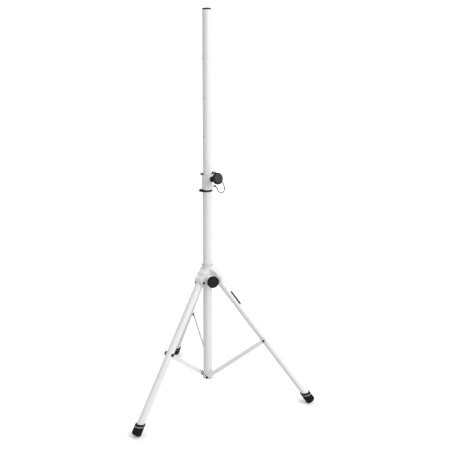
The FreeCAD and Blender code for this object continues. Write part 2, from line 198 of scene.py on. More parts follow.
def lathe(name, origin, d, rings, body, seg=64, lobe=None, phase=0.0, smooth_deg=35.0):
    bm = bmesh.new()
    lathe_into(bm, origin, d, rings, seg, lobe, phase)
    return new_object(name, bm, body, smooth_deg)


def torus_into(bm, centre, normal, big, small, seg=48, seg2=16, squash=1.0):
    n, u, v = basis(normal)
    rows = []
    for i in range(seg):
        a = TAU * i / seg
        out = u * math.cos(a) + v * math.sin(a)
        rows.append([bm.verts.new(centre + out * ((big + small * math.cos(TAU * k / seg2)) * MM)
                                  + n * (small * squash * math.sin(TAU * k / seg2) * MM)) for k in range(seg2)])
    for i in range(seg):
        for k in range(seg2):
            bm.faces.new((rows[i][k], rows[(i + 1) % seg][k], rows[(i + 1) % seg][(k + 1) % seg2], rows[i][(k + 1) % seg2]))


def body_name(node):
    for b, members in frame["record"]["behaviour"]["bodies"].items():
        if node in members:
            return b
    raise ValueError(node)


def button_head(bm, origin, d, s0, r, h, socket, shank_from=None, shank_r=3.0, seg=48, under=0.0):
    """Domed socket screw: seat at s0, dome r wide and h high, hexagonal socket."""
    rings = []
    if shank_from is not None:
        rings += [(shank_from, 0), (shank_from, shank_r - 0.4), (shank_from + 0.5, shank_r), (s0, shank_r)]
    else:
        rings += [(s0, 0)]
    rings += [(s0, r - 0.25), (s0 + 0.2, r), (s0 + 0.5, r)]
    n = 7
    top_r = socket + 1.0
    for k in range(1, n + 1):
        w = k / n
        rings.append((s0 + 0.5 + (h - 0.5) * math.sin(w * math.pi / 2), r - (r - top_r) * (1 - math.cos(w * math.pi / 2))))
    rings += [(s0 + h, socket + 0.35), (s0 + h - 0.15, socket + 0.08, "hex", 1.0), (s0 + h - 0.35, socket, "hex", 1.0),
              (s0 + h * 0.35, socket, "hex", 1.0), (s0 + h * 0.22, socket * 0.5), (s0 + h * 0.18, 0)]
    lathe_into(bm, origin, d, rings, seg)


def lock_nut(bm, origin, d, s0, r, h, thread_r=3.0, seg=48):
    """Hexagon nut with a round collar and the end of the bolt."""
    hx = h * 0.62
    rings = [(s0, 0), (s0, r * 0.9), (s0 + 0.35, r, "hex", 1.0), (s0 + hx - 0.35, r, "hex", 1.0), (s0 + hx, r * 0.87),
             (s0 + hx + 0.05, r * 0.78), (s0 + h * 0.86, r * 0.74), (s0 + h * 0.94, r * 0.66), (s0 + h * 0.94, thread_r + 0.1),
             (s0 + h * 0.80, thread_r + 0.05), (s0 + h * 0.80, thread_r - 0.1), (s0 + h * 0.96, thread_r - 0.15),
             (s0 + h, thread_r - 0.6), (s0 + h, 0)]
    lathe_into(bm, origin, d, rings, seg)


def cap_nut(bm, origin, d, s0, r, h, seg=48):
    """Plastic cover of the nut: round skirt with a domed top."""
    rings = rounded([(s0, 0), (s0, r), (s0 + h * 0.42, r), (s0 + h * 0.5, r * 0.9), (s0 + h * 0.86, r * 0.66), (s0 + h, r * 0.3), (s0 + h, 0)],
                    [0, 0.2, 0.4, 0.5, 0.8, 0.8, 0], 3)
    lathe_into(bm, origin, d, rings, seg)


def moulded_copy(node, name, voxel, passes, factor=0.5, keep=None):
    """A cast or moulded piece: the CAD solid with every edge softened the way a mould leaves it."""
    src = NODES[node]
    me = src.data.copy()
    ob = bpy.data.objects.new(name, me)
    bpy.context.scene.collection.objects.link(ob)
    bm = bmesh.new()
    bm.from_mesh(me)
    bmesh.ops.remove_doubles(bm, verts=bm.verts, dist=1e-6)
    bm.to_mesh(me)
    bm.free()
    m = ob.modifiers.new("remesh", "REMESH")
    m.mode = "VOXEL"
    m.voxel_size = voxel * MM
    m.use_smooth_shade = True
    m = ob.modifiers.new("smooth", "SMOOTH")
    m.factor = factor
    m.iterations = passes
    dg = bpy.context.evaluated_depsgraph_get()
    out = bpy.data.meshes.new_from_object(ob.evaluated_get(dg), depsgraph=dg)
    ob.modifiers.clear()
    ob.data = out
    out.name = name
    for key in [a.name for a in out.attributes if a.name.startswith("custom_normal")]:
        out.attributes.remove(out.attributes[key])
    for p in out.polygons:
        p.use_smooth = True
    out.materials.clear()
    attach(ob, body_name(node))
    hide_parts(node)
    return ob


def edge_break(node, width=0.35, angle=38.0, segments=2):
    """Breaks the sharp edges of a CAD node; its vertices stay as they are."""
    ob = NODES[node]
    w = ob.modifiers.new("weld", "WELD")
    w.merge_threshold = 2e-6
    b = ob.modifiers.new("edges", "BEVEL")
    b.width = width * MM
    b.segments = segments
    b.limit_method = "ANGLE"
    b.angle_limit = math.radians(angle)
    b.harden_normals = True
    b.use_clamp_overlap = True


# ------------------------------------------------------------------ materials
MATS = {}


def material(name, colour, rough, metallic=0.0, bumps=(), tint=0.03, tint_scale=30.0, rough_var=0.05, rough_scale=300.0,
             coat=0.0, coat_rough=0.2, spec=0.5, speck=None, streak=None, edge=0.0):
    """Procedural finish on the piece's own coordinates (metres). bumps are (kind, scale, detail, distance mm, strength)."""
    if name in MATS:
        return MATS[name]
    m = bpy.data.materials.new(name)
    m.use_nodes = True
    nt = m.node_tree
    nt.nodes.clear()
    out = nt.nodes.new("ShaderNodeOutputMaterial")
    sh = nt.nodes.new("ShaderNodeBsdfPrincipled")
    nt.links.new(sh.outputs["BSDF"], out.inputs["Surface"])
    sh.inputs["Metallic"].default_value = metallic
    sh.inputs["Roughness"].default_value = rough
    sh.inputs["Specular IOR Level"].default_value = spec
    sh.inputs["Coat Weight"].default_value = coat
    sh.inputs["Coat Roughness"].default_value = coat_rough
    tc = nt.nodes.new("ShaderNodeTexCoord")
    vec = tc.outputs["Object"]
    if streak:
        mp = nt.nodes.new("ShaderNodeMapping")
        mp.inputs["Scale"].default_value = streak
        nt.links.new(vec, mp.inputs["Vector"])
        svec = mp.outputs["Vector"]
    else:
        svec = vec

    def noise(scale, detail=3.0, v=vec, roughness=0.55):
        n = nt.nodes.new("ShaderNodeTexNoise")
        n.inputs["Scale"].default_value = scale
        n.inputs["Detail"].default_value = detail
        n.inputs["Roughness"].default_value = roughness
        nt.links.new(v, n.inputs["Vector"])
        return n.outputs["Fac"]

    # colour: slow drift of the base, with optional fine specks
    ramp = nt.nodes.new("ShaderNodeValToRGB")
    ramp.color_ramp.elements[0].position = 0.3
    ramp.color_ramp.elements[1].position = 0.7
    ramp.color_ramp.elements[0].color = (*[max(0.0, c * (1 - tint)) for c in colour], 1)
    ramp.color_ramp.elements[1].color = (*[min(1.0, c * (1 + tint)) for c in colour], 1)
    nt.links.new(noise(tint_scale, 4.0), ramp.inputs["Fac"])
    col = ramp.outputs["Color"]
    if speck:
        sc, amount, dark = speck
        r2 = nt.nodes.new("ShaderNodeValToRGB")
        r2.color_ramp.elements[0].position = 1 - amount
        r2.color_ramp.elements[1].position = min(1.0, 1 - amount + 0.06)
        r2.color_ramp.elements[0].color = (0, 0, 0, 1)
        r2.color_ramp.elements[1].color = (1, 1, 1, 1)
        nt.links.new(noise(sc, 1.0), r2.inputs["Fac"])
        mix = nt.nodes.new("ShaderNodeMix")
        mix.data_type = "RGBA"
        nt.links.new(r2.outputs["Color"], mix.inputs[0])
        nt.links.new(col, mix.inputs[6])
        mix.inputs[7].default_value = (*dark, 1)
        col = mix.outputs[2]
    nt.links.new(col, sh.inputs["Base Color"])

    # roughness: handling marks and the grain of the finish
    mr = nt.nodes.new("ShaderNodeMapRange")
    mr.inputs["From Min"].default_value = 0.3
    mr.inputs["From Max"].default_value = 0.7
    mr.inputs["To Min"].default_value = max(0.02, rough - rough_var)
    mr.inputs["To Max"].default_value = min(1.0, rough + rough_var)
    nt.links.new(noise(rough_scale, 3.0, svec), mr.inputs["Value"])
    nt.links.new(mr.outputs["Result"], sh.inputs["Roughness"])

    # relief
    normal = None
    for kind, scale, detail, dist, strength in bumps:
        if kind == "noise":
            h = noise(scale, detail)
        elif kind == "streak":
            h = noise(scale, detail, svec)
        else:
            vo = nt.nodes.new("ShaderNodeTexVoronoi")
            vo.feature = "SMOOTH_F1"
            vo.inputs["Scale"].default_value = scale
            nt.links.new(vec, vo.inputs["Vector"])
            h = vo.outputs["Distance"]
        b = nt.nodes.new("ShaderNodeBump")
        b.inputs["Strength"].default_value = strength
        b.inputs["Distance"].default_value = dist * MM
        nt.links.new(h, b.inputs["Height"])
        if normal is not None:
            nt.links.new(normal, b.inputs["Normal"])
        normal = b.outputs["Normal"]
    if normal is not None:
        nt.links.new(normal, sh.inputs["Normal"])
    MATS[name] = m
    return m


def paint(ob, mat):
    ob.data.materials.clear()
    ob.data.materials.append(mat)


WHITE = (0.80, 0.80, 0.80)
powder_coat = material("powder_coat_white", WHITE, 0.36, tint=0.012, tint_scale=14, rough_var=0.05, rough_scale=420, coat=0.25, coat_rough=0.22,
                       bumps=[("noise", 620, 2.0, 0.030, 0.55), ("noise", 2600, 1.0, 0.006, 0.5)])
cast_white = material("cast_nylon_white", (0.79, 0.79, 0.785), 0.44, tint=0.015, tint_scale=22, rough_var=0.06, rough_scale=380, coat=0.08, coat_rough=0.3,
                      bumps=[("voronoi", 1500, 0, 0.020, 0.5), ("noise", 240, 3.0, 0.05, 0.35)])
bar_white = material("powder_coat_flat_bar", (0.80, 0.80, 0.80), 0.38, tint=0.012, tint_scale=18, rough_var=0.05, rough_scale=420, coat=0.2, coat_rough=0.25,
                     bumps=[("noise", 700, 2.0, 0.026, 0.55), ("noise", 2400, 1.0, 0.006, 0.5)])
moulded_white = material("moulded_white", (0.78, 0.78, 0.775), 0.42, tint=0.015, tint_scale=25, rough_var=0.05, rough_scale=350,
                         bumps=[("voronoi", 1800, 0, 0.016, 0.5)])
knob_black = material("knob_textured_black", (0.0065, 0.0065, 0.007), 0.50, tint=0.10, tint_scale=60, rough_var=0.07, rough_scale=600, spec=0.13,
                      bumps=[("voronoi", 2100, 0, 0.045, 0.7), ("noise", 500, 3.0, 0.03, 0.35)])
# lighter black for the clamp knob's face plate only: painted sheen, since its face tilts up to the lights; the same
# plate on the hub knob uses the darker black below
sheen_lit_plate_black = material("knob_cap_satin_black", (0.034, 0.034, 0.035), 0.40, tint=0.08, tint_scale=80, rough_var=0.06, rough_scale=500, spec=0.25,
                          bumps=[("noise", 1500, 2.0, 0.010, 0.5)])
plate_black = material("knob_plate_deep_black", (0.012, 0.012, 0.0125), 0.44, tint=0.08, tint_scale=80, rough_var=0.06, rough_scale=500, spec=0.18,
                       bumps=[("noise", 1500, 2.0, 0.010, 0.5)])
moulding_black = material("moulding_black", (0.0035, 0.0035, 0.0037), 0.55, tint=0.10, tint_scale=60, rough_var=0.07, rough_scale=500, spec=0.08,
                          bumps=[("voronoi", 1700, 0, 0.030, 0.6)])
cap_black = material("cap_black", (0.014, 0.014, 0.0145), 0.42, tint=0.10, tint_scale=70, rough_var=0.06, rough_scale=600, spec=0.25,
                     bumps=[("noise", 1300, 2.0, 0.015, 0.5)])
nylon_black = material("nylon_black", (0.008, 0.008, 0.0085), 0.42, tint=0.08, tint_scale=80, rough_var=0.06, rough_scale=700, spec=0.20,
                       bumps=[("noise", 1600, 2.0, 0.010, 0.5)])
bolt_black = material("bolt_black_oxide", (0.020, 0.020, 0.021), 0.36, metallic=0.35, spec=0.22, tint=0.14, tint_scale=260, rough_var=0.08, rough_scale=900,
                      bumps=[("noise", 1900, 3.0, 0.010, 0.6)])
cap_grey = material("cap_grey", (0.27, 0.27, 0.275), 0.40, tint=0.05, tint_scale=120, rough_var=0.06, rough_scale=600,
                    bumps=[("noise", 1500, 2.0, 0.012, 0.5)])
steel = material("pin_steel", (0.115, 0.115, 0.118), 0.32, metallic=1.0, tint=0.08, tint_scale=180, rough_var=0.10, rough_scale=300, streak=(0.15, 6.0, 6.0),
                 bumps=[("streak", 500, 3.0, 0.010, 0.45)])
brass = material("brass", (0.62, 0.45, 0.20), 0.32, metallic=1.0, tint=0.06, tint_scale=160, rough_var=0.08, rough_scale=500,
                 bumps=[("noise", 1200, 2.0, 0.010, 0.4)])
rubber = material("rubber_black", (0.0050, 0.0050, 0.0052), 0.62, tint=0.16, tint_scale=90, rough_var=0.10, rough_scale=420, spec=0.18,
                  bumps=[("noise", 900, 4.0, 0.050, 0.6), ("voronoi", 2600, 0, 0.012, 0.4)])
band_grey = material("band_grey", (0.38, 0.38, 0.38), 0.50, tint=0.05, tint_scale=90, rough_var=0.07, rough_scale=420,
                     bumps=[("noise", 1100, 2.0, 0.020, 0.5)])
jacket = material("lanyard_jacket", (0.004, 0.004, 0.0042), 0.46, spec=0.10, tint=0.12, tint_scale=220, rough_var=0.06, rough_scale=900,
                  bumps=[("streak", 1500, 2.0, 0.030, 0.5)])
stripe = material("stripe_dark", (0.034, 0.032, 0.026), 0.34, tint=0.10, tint_scale=150, rough_var=0.05, rough_scale=700, coat=0.1, coat_rough=0.15, spec=0.3,
                  bumps=[("noise", 900, 2.0, 0.008, 0.4)])

BY_SLOT = {"white_steel": powder_coat, "white_casting": cast_white, "white_bar": bar_white, "white_moulding": moulded_white,
           "black_moulding": moulding_black, "black_knob": knob_black, "black_cap": cap_black, "black_nylon": nylon_black,
           "black_bolt": bolt_black, "grey_cap": cap_grey, "steel": steel, "brass": brass, "rubber": rubber,
           "grey_band": band_grey, "lanyard_jacket": jacket, "black_stripe": stripe}
NODE_SLOT = {}
for n in frame["record"]["geometry"]["nodes"] if "nodes" in frame["record"].get("geometry", {}) else []:
    NODE_SLOT[n.get("name") or n.get("node")] = n.get("slot") or n.get("material_slot")
for mrow in frame["record"].get("materials", []):
    for n in mrow.get("nodes", []) or []:
        NODE_SLOT[n] = mrow["slot"]


def guess_slot(n):
    if n in NODE_SLOT and NODE_SLOT[n]:
        return NODE_SLOT[n]
    if n.endswith("_foot"):
        return "rubber"
    if n.endswith("_band"):
        return "grey_band"
    if n.endswith("_bar"):
        return "white_bar"
    if n.endswith("_knuckle"):
        return "white_moulding"
    if n.endswith("_spacer") or n.endswith("spacers") or "bush" in n or "pad" in n:
        return "black_nylon"
    if "bolt" in n:
        return "black_bolt"
    if n.endswith("caps"):
        return "grey_cap"
    if n.endswith("_nut"):
        return "brass"
    if n.endswith("knob_head"):
        return "black_knob"
    if n.endswith("knob_cap"):
        return "black_cap"
    if n.endswith("screw") or n in ("safety_pin", "pin_eye"):
        return "steel"
    if n in ("tripod_hub", "clamp_collar"):
        return "white_casting"
    if n in ("stop_ring", "bottom_plug"):
        return "black_moulding"
    if n == "top_cap":
        return "black_cap"
    if n.startswith("lanyard"):
        return "lanyard_jacket"
    if n.endswith("stripe"):
        return "black_stripe"
    return "white_steel"


for n, ob in NODES.items():
    paint(ob, BY_SLOT[guess_slot(n)])

# ------------------------------------------------------------------ camera
YAW, PITCH, ROLL, TURN = 0.0214, 0.2961, 0.0033, math.radians(-20.4)
right = Vector((math.cos(YAW), -math.sin(YAW), 0))
ahead = Vector((math.sin(YAW), math.cos(YAW), 0))
fwd = ahead * math.cos(PITCH) - Vector((0, 0, 1)) * math.sin(PITCH)
up = ahead * math.sin(PITCH) + Vector((0, 0, 1)) * math.cos(PITCH)
right, up = right * math.cos(ROLL) + up * math.sin(ROLL), up * math.cos(ROLL) - right * math.sin(ROLL)
spin = Matrix.Rotation(TURN, 3, "Z")
right, up, fwd = spin @ right, spin @ up, spin @ fwd
cam_data = bpy.data.cameras.new("camera")
cam_data.sensor_width = 36.0
cam_data.sensor_fit = "HORIZONTAL"
cam_data.lens = 69.066
cam_data.clip_start, cam_data.clip_end = 0.1, 200.0
cam = bpy.data.objects.new("camera", cam_data)
bpy.context.scene.collection.objects.link(cam)
cam.matrix_world = Matrix(((right.x, up.x, -fwd.x, -1.16326), (right.y, up.y, -fwd.y, -3.23672),
                           (right.z, up.z, -fwd.z, 1.78158), (0, 0, 0, 1)))
bpy.context.scene.camera = cam

# ------------------------------------------------------------------ lanyard: jacketed wire rope
# the route's points: distance from the column axis towards az -20.4 deg, distance to its left, height (mm)
ROUTE = [(31.0, 0.0, 925.6), (36.8, 0.1, 920.6), (41.2, 0.5, 913.0), (43.2, 1.0, 904.6), (50.6, 1.6, 897.2),
         (61.2, 2.4, 897.2), (68.4, 3.4, 905.0), (69.0, 4.6, 915.6), (67.2, 5.9, 926.0), (62.8, 7.3, 935.4),
         (56.3, 8.7, 943.0), (49.0, 10.0, 948.4), (41.6, 11.1, 953.2), (36.6, 12.1, 959.6), (34.6, 12.9, 966.4)]
LA = Vector((math.cos(math.radians(-20.4)), math.sin(math.radians(-20.4)), 0))
LB = Vector((-LA.y, LA.x, 0))
route = [AX + (LA * a + LB * b + Vector((0, 0, z))) * MM for a, b, z in ROUTE]
route[0] = route[0] + (route[1] - route[0]).normalized() * (3.0 * MM)
curve = bpy.data.curves.new("lanyard_route", "CURVE")
curve.dimensions = "3D"
curve.resolution_u = 14
spline = curve.splines.new("NURBS")
spline.points.add(len(route) - 1)
for p, q in zip(spline.points, route):
    p.co = (q.x, q.y, q.z, 1.0)
spline.order_u = 3
spline.use_endpoint_u = True
holder = bpy.data.objects.new("lanyard_route", curve)
line_mesh = bpy.data.meshes.new_from_object(holder)
line = [v.co.copy() for v in line_mesh.vertices]
bpy.data.meshes.remove(line_mesh)
bpy.data.objects.remove(holder)
bpy.data.curves.remove(curve)
cord_len = sum((b - a).length for a, b in zip(line, line[1:]))
CORD_R = 1.9


def tube_mesh(name, pts, radius, seg=16):
    """Tube along the line."""
    bm = bmesh.new()
    rows, side = [], None
    along = 0.0
    for i, p in enumerate(pts):
        t = (pts[min(i + 1, len(pts) - 1)] - pts[max(i - 1, 0)]).normalized()
        if side is None:
            side = t.orthogonal().normalized()
        side = (side - t * side.dot(t)).normalized()
        other = t.cross(side)
        if i:
            along += (p - pts[i - 1]).length
        rows.append([bm.verts.new(p + (side * math.cos(TAU * k / seg) + other * math.sin(TAU * k / seg)) * (radius * MM)) for k in range(seg)])
    for a, b in zip(rows, rows[1:]):
        for k in range(seg):
            bm.faces.new((a[k], b[k], b[(k + 1) % seg], a[(k + 1) % seg]))
    bm.faces.new(rows[0])
    bm.faces.new(list(reversed(rows[-1])))
    bmesh.ops.recalc_face_normals(bm, faces=bm.faces)
    me = bpy.data.meshes.new(name)
    bm.to_mesh(me)
    bm.free()
    for p in me.polygons:
        p.use_smooth = True
    me.set_sharp_from_angle(angle=math.radians(50))
    ob = bpy.data.objects.new(name, me)
    bpy.context.scene.collection.objects.link(ob)
    return ob


half, split = 0.0, 0
for i in range(1, len(line)):
    half += (line[i] - line[i - 1]).length
    if half > 0.5 * cord_len:
        split = i
        break
first, second = line[:split + 1], line[split:]
lower = tube_mesh("lanyard_wire_lower", first, CORD_R)
upper = tube_mesh("lanyard_wire_upper", second, CORD_R)
paint(lower, jacket)
paint(upper, jacket)
# each wire blends across its motion, so it slants but is never squashed: outwards for the mast's lift, upwards for the pin's pull
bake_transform(lower, "column", "mast", start=first[0], end=Vector((first[-1].x, first[-1].y, first[0].z)))
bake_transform(upper, "mast", "safety_pin", start=second[0], end=Vector((second[0].x, second[0].y, second[-1].z)))
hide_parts("lanyard_wire")

# ball end in the collar's lug, with a short swaged neck
ball_c = AX + (LA * 31.0 + Vector((0, 0, 925.6))) * MM
ball_d = (route[1] - ball_c).normalized()
ball = [(-4.5, 0)] + [(-4.5 * math.cos(a), 4.5 * math.sin(a)) for a in [math.pi * k / 22 for k in range(1, 19)]]
ball += [(4.2, 2.3), (4.9, 2.2), (6.2, 2.2), (6.6, 1.9), (6.6, 1.4), (5.8, 1.4)]
crimp = lathe("lanyard_ball_end", ball_c, ball_d, ball, "column", seg=40)
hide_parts("lanyard_crimp")
paint(crimp, moulding_black)

# small eye of wire round the pin's ring, with its ferrule
bm = bmesh.new()
torus_into(bm, ax_point(EYE_X, 0, 968.2), (0, 1, 0), 2.55, 1.1, 40, 14)
eyelet = new_object("lanyard_eyelet", bm, "safety_pin", 60)
paint(eyelet, jacket)
f_dir = (second[-6] - second[-1]).normalized()
ferrule = lathe("lanyard_ferrule", second[-1], f_dir,
                rounded([(-1.0, 0), (-1.0, 2.0), (5.6, 2.0), (6.2, 1.7), (6.2, 0)], [0, .5, .4, .3, 0], 3), "safety_pin", seg=32)
paint(ferrule, steel)

# ------------------------------------------------------------------ knobs
CL_T = math.radians(15.0)
cl_az = Vector((math.cos(math.radians(290)), math.sin(math.radians(290)), 0))
cl_d = cl_az * math.cos(CL_T) + Vector((0, 0, math.sin(CL_T)))
cl_o = ax_point(0, 0, 957.0 - 21.6 * math.tan(CL_T))
hb_d = Vector((0, -1, 0))
hb_o = ax_point(0, 0, 540.0)


def scallop(n, sharp):
    def f(th):
        return (0.5 + 0.5 * math.cos(n * th)) ** sharp
    return f


def knob(prefix, origin, d, stem_from, sr, r, phase, body, plate):
    f, b, c = KNOB_F, KNOB_F - 11.0, r - 4.6
    lobe = scallop(8, 2.2)
    pts = [(stem_from, 4.3), (stem_from, sr - 0.6), (stem_from + 0.6, sr), (stem_from + 3.0, sr + 0.1), (stem_from + 3.6, sr - 0.7),
           (stem_from + 4.6, sr - 0.7), (stem_from + 5.2, sr + 0.2), (stem_from + 12, sr + 0.8), (b - 4.5, sr + 1.3), (b - 1.5, sr + 2.4),
           (b, 15.5), (b, r - 2.6, "lobe", 0.3), (b + 0.3, r - 1.0, "lobe", 0.6), (b + 1.2, r, "lobe", 0.75), (f - 2.0, r, "lobe", 0.75),
           (f - 0.7, r - 0.5, "lobe", 0.6), (f, r - 1.7, "lobe", 0.3), (f, c + 0.8), (f - 0.2, c + 0.4), (f - 0.5, c + 0.14), (f - 1.55, c + 0.1),
           (f - 1.6, c), (f - 1.6, 4.2)]
    rads = [0, .3, .3, .3, .3, .3, .4, 3, 3, 2, 1, 0, 0, 0, 0, 0, 0, .3, .2, .2, .1, 0, 0]
    head = lathe(prefix + "_grip", origin, d, rounded(pts, rads, 3), body, seg=128, lobe=lobe, phase=math.radians(phase), smooth_deg=50)
    paint(head, knob_black)
    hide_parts(prefix + "_head")
    cap = lathe(prefix + "_plate", origin, d,
                rounded([(f - 1.55, 0), (f - 1.55, c - 0.05), (f - 0.45, c - 0.05), (f - 0.05, c - 0.7), (f + 0.05, c - 1.6), (f + 0.05, c - 3.0),
                         (f - 0.3, c - 3.3), (f - 0.3, c - 3.9), (f + 0.12, c - 4.2), (f + 0.3, 8.0), (f + 0.42, 4.6), (f + 0.05, 4.1), (f - 0.05, 3.2),
                         (f + 0.3, 2.6), (f + 0.35, 0)], [0, .1, .3, .4, .3, .15, .15, .15, .2, .6, .2, .2, .2, .3, 0], 3),
                body, seg=96, smooth_deg=50)
    paint(cap, plate)
    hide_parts(prefix + "_cap")


# the clamp knob's face plate takes the lighter black, a painted sheen
knob("clamp_knob", cl_o, cl_d, 31.0, 11.2, 23.6, 22.5, "clamp_knob", sheen_lit_plate_black)
knob("hub_knob", hb_o, hb_d, 34.0, 9.2, 24.5, 0.0, "hub_knob", plate_black)

# ------------------------------------------------------------------ castings and mouldings
hub = moulded_copy("tripod_hub", "hub_casting", 0.55, 14)
paint(hub, cast_white)
collar = moulded_copy("clamp_collar", "collar_casting", 0.45, 5)
paint(collar, cast_white)

# raised rings on the hub's neck
bm = bmesh.new()
for z in (585.5, 579.8):
    lathe_into(bm, ax_point(0, 0, 0), (0, 0, 1), [(z - 1.5, 21.5), (z - 1.3, 22.8), (z - 0.9, 23.7), (z - 0.3, 24.0), (z + 0.3, 24.0), (z + 0.9, 23.7), (z + 1.3, 22.8), (z + 1.5, 21.5), (z - 1.5, 21.5)], 96)
neck = new_object("hub_neck_rings", bm, "hub", 40)
paint(neck, cast_white)

# ------------------------------------------------------------------ top cap, stop ring, safety pin
TOP = 1616.6
cap_obj = lathe("mast_top_cap", ax_point(0, 0, 0), (0, 0, 1),
                rounded([(1580.0, 0), (1580.0, 15.95), (1610.9, 15.95), (1611.02, 16.9), (1613.2, 17.22), (1615.0, 16.4), (1616.0, 14.6), (TOP - 0.5, 13.2),
                         (TOP - 0.9, 12.8), (TOP - 0.9, 11.6), (TOP - 0.4, 11.2), (TOP, 9.6), (TOP, 3.0), (TOP - 0.5, 2.2), (TOP - 0.5, 0)],
                        [0, .3, 0, .3, .6, .8, .6, .3, .2, .2, .3, .5, .3, .2, 0], 3), "mast", seg=96, smooth_deg=45)
paint(cap_obj, cap_black)
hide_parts("top_cap")

pin_rings = rounded([(0, 0), (0, 2.0), (0.5, 3.1), (1.6, 4.3), (2.6, 4.6), (34.0, 4.6), (51.3, 4.6), (51.3, 6.7), (51.7, 6.9), (53.3, 6.9), (53.8, 6.5),
                     (53.8, 4.8), (54.2, 4.6), (57.0, 4.6), (57.4, 4.2), (58.2, 4.2), (58.6, 4.6), (65.3, 4.6), (66.7, 3.9), (67.5, 2.6), (67.5, 0)],
                    [0, .3, .5, .6, .8, 0, .1, .2, .2, .2, .2, .2, .2, .2, .15, .15, .2, .8, .6, .5, 0], 3)
pin = lathe("locking_pin", ax_point(PIN_X0, 0, PIN_Z), (1, 0, 0), pin_rings, "safety_pin", seg=56, smooth_deg=40)
paint(pin, steel)
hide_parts("safety_pin")
bm = bmesh.new()
torus_into(bm, ax_point(EYE_X, 0, PIN_Z - 4.0), (1, 0, 0), 5.4, 1.0, 56, 18)
ring = new_object("pin_ring", bm, "safety_pin", 60)
paint(ring, steel)
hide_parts("pin_eye")

# ------------------------------------------------------------------ bolts, nuts
bm = bmesh.new()
for k, az in LEGS.items():
    d = leg_frame(az) @ Vector((0, 1, 0))
    button_head(bm, local(az, PIV_R, 0, PIV_Z), d, CHEEK_H, 5.6, 3.7, 2.3, shank_from=-CHEEK_H, shank_r=4.0)
pivots = new_object("leg_pivot_screws", bm, "hub", 40)
paint(pivots, bolt_black)
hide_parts("leg_pivot_bolts")
bm = bmesh.new()
for k, az in LEGS.items():
    d = leg_frame(az) @ Vector((0, -1, 0))
    cap_nut(bm, local(az, PIV_R, 0, PIV_Z), d, CHEEK_H, 6.0, 3.4)
caps = new_object("leg_pivot_covers", bm, "hub", 40)
paint(caps, cap_grey)
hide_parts("leg_pivot_caps")
bm = bmesh.new()
for k, az in LEGS.items():
    d = leg_frame(az) @ Vector((0, -1, 0))
    button_head(bm, local(az, 0, 0, BR_Z), d, 23.7, 5.6, 3.5, 2.2, shank_from=8.0, shank_r=3.0)
lower_bolts = new_object("brace_pivot_screws", bm, "column", 40)
paint(lower_bolts, bolt_black)
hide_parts("brace_pivot_bolts")

LD = Vector(((END_R - PIV_R) / LEG_L, 0, (END_Z - PIV_Z) / LEG_L))
LN = Vector((-LD.z, 0, LD.x))
for k, az in LEGS.items():
    jx, jz = PIV_R + LD.x * JOINT_S, PIV_Z + LD.z * JOINT_S
    j = local(az, jx, 0, jz)
    plus, minus = leg_frame(az) @ Vector((0, 1, 0)), leg_frame(az) @ Vector((0, -1, 0))
    bm = bmesh.new()
    lathe_into(bm, j, plus, rounded([(11.5, 0), (11.5, 7.0), (15.6, 7.0), (15.9, 6.7), (15.9, 0)], [0, 0, .3, .2, 0], 2), 48)
    button_head(bm, j, plus, 15.9, 6.4, 4.2, 2.6, shank_from=-20.1, shank_r=3.0)
    ob = new_object("leg_%s_brace_screw" % k, bm, "leg_" + k, 40)
    paint(ob, bolt_black)
    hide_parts("leg_%s_brace_bolt" % k)
    bm = bmesh.new()
    lock_nut(bm, j, minus, -BR_Y1, 5.4, 3.1, 2.6)
    lathe_into(bm, j, minus, [(20.4, 0), (20.4, 3.0), (23.45, 3.0), (23.45, 0)], 32)
    ob = new_object("brace_%s_nut" % k, bm, "brace_" + k, 30)
    paint(ob, bolt_black)
    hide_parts("brace_%s_bolt_head" % k)


# ------------------------------------------------------------------ brace bars: flat steel with round ends and rolled edges
JX, JZ = PIV_R + LD.x * JOINT_S, PIV_Z + LD.z * JOINT_S
BR_L = math.hypot(JX, JZ - BR_Z)
BD = Vector((JX / BR_L, 0, (JZ - BR_Z) / BR_L))
BN = Vector((-BD.z, 0, BD.x))


def flat_bar(k, az):
    R = leg_frame(az)
    y0, y1, w = -20.4, BR_Y1, 9.5
    e, half = 0.75, 20
    rows = [(y0, 1.5)]
    for i in range(5):
        a = math.pi / 2 * i / 4
        rows.append((y0 - e * (1 - math.cos(a)), e * (1 - math.sin(a))))
    for i in range(5):
        a = math.pi / 2 * i / 4
        rows.append((y1 + e * (1 - math.sin(a)), e * (1 - math.cos(a))))
    rows.append((y1, 1.5))
    bm = bmesh.new()
    made = []
    for y, inset in rows:
        r = w - inset
        row = []
        for i in range(half + 1):
            a = math.pi / 2 + math.pi * i / half
            q = Vector((0, 0, BR_Z)) + BD * (r * math.cos(a)) + BN * (r * math.sin(a))
            row.append(q)
        for i in range(half + 1):
            a = -math.pi / 2 + math.pi * i / half
            q = Vector((0, 0, BR_Z)) + BD * (BR_L + r * math.cos(a)) + BN * (r * math.sin(a))
            row.append(q)
        made.append([bm.verts.new(AX + R @ (q + Vector((0, y, 0))) * MM) for q in row])
    n = len(made[0])
    for a, b in zip(made, made[1:]):
        for i in range(n):
            j = (i + 1) % n
            bm.faces.new((a[i], b[i], b[j], a[j]))
    bm.faces.new(made[0])
    bm.faces.new(list(reversed(made[-1])))
    ob = new_object("brace_%s_flat" % k, bm, "brace_" + k, 40)
    paint(ob, bar_white)
    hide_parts("brace_%s_bar" % k)


for k, az in LEGS.items():
    flat_bar(k, az)


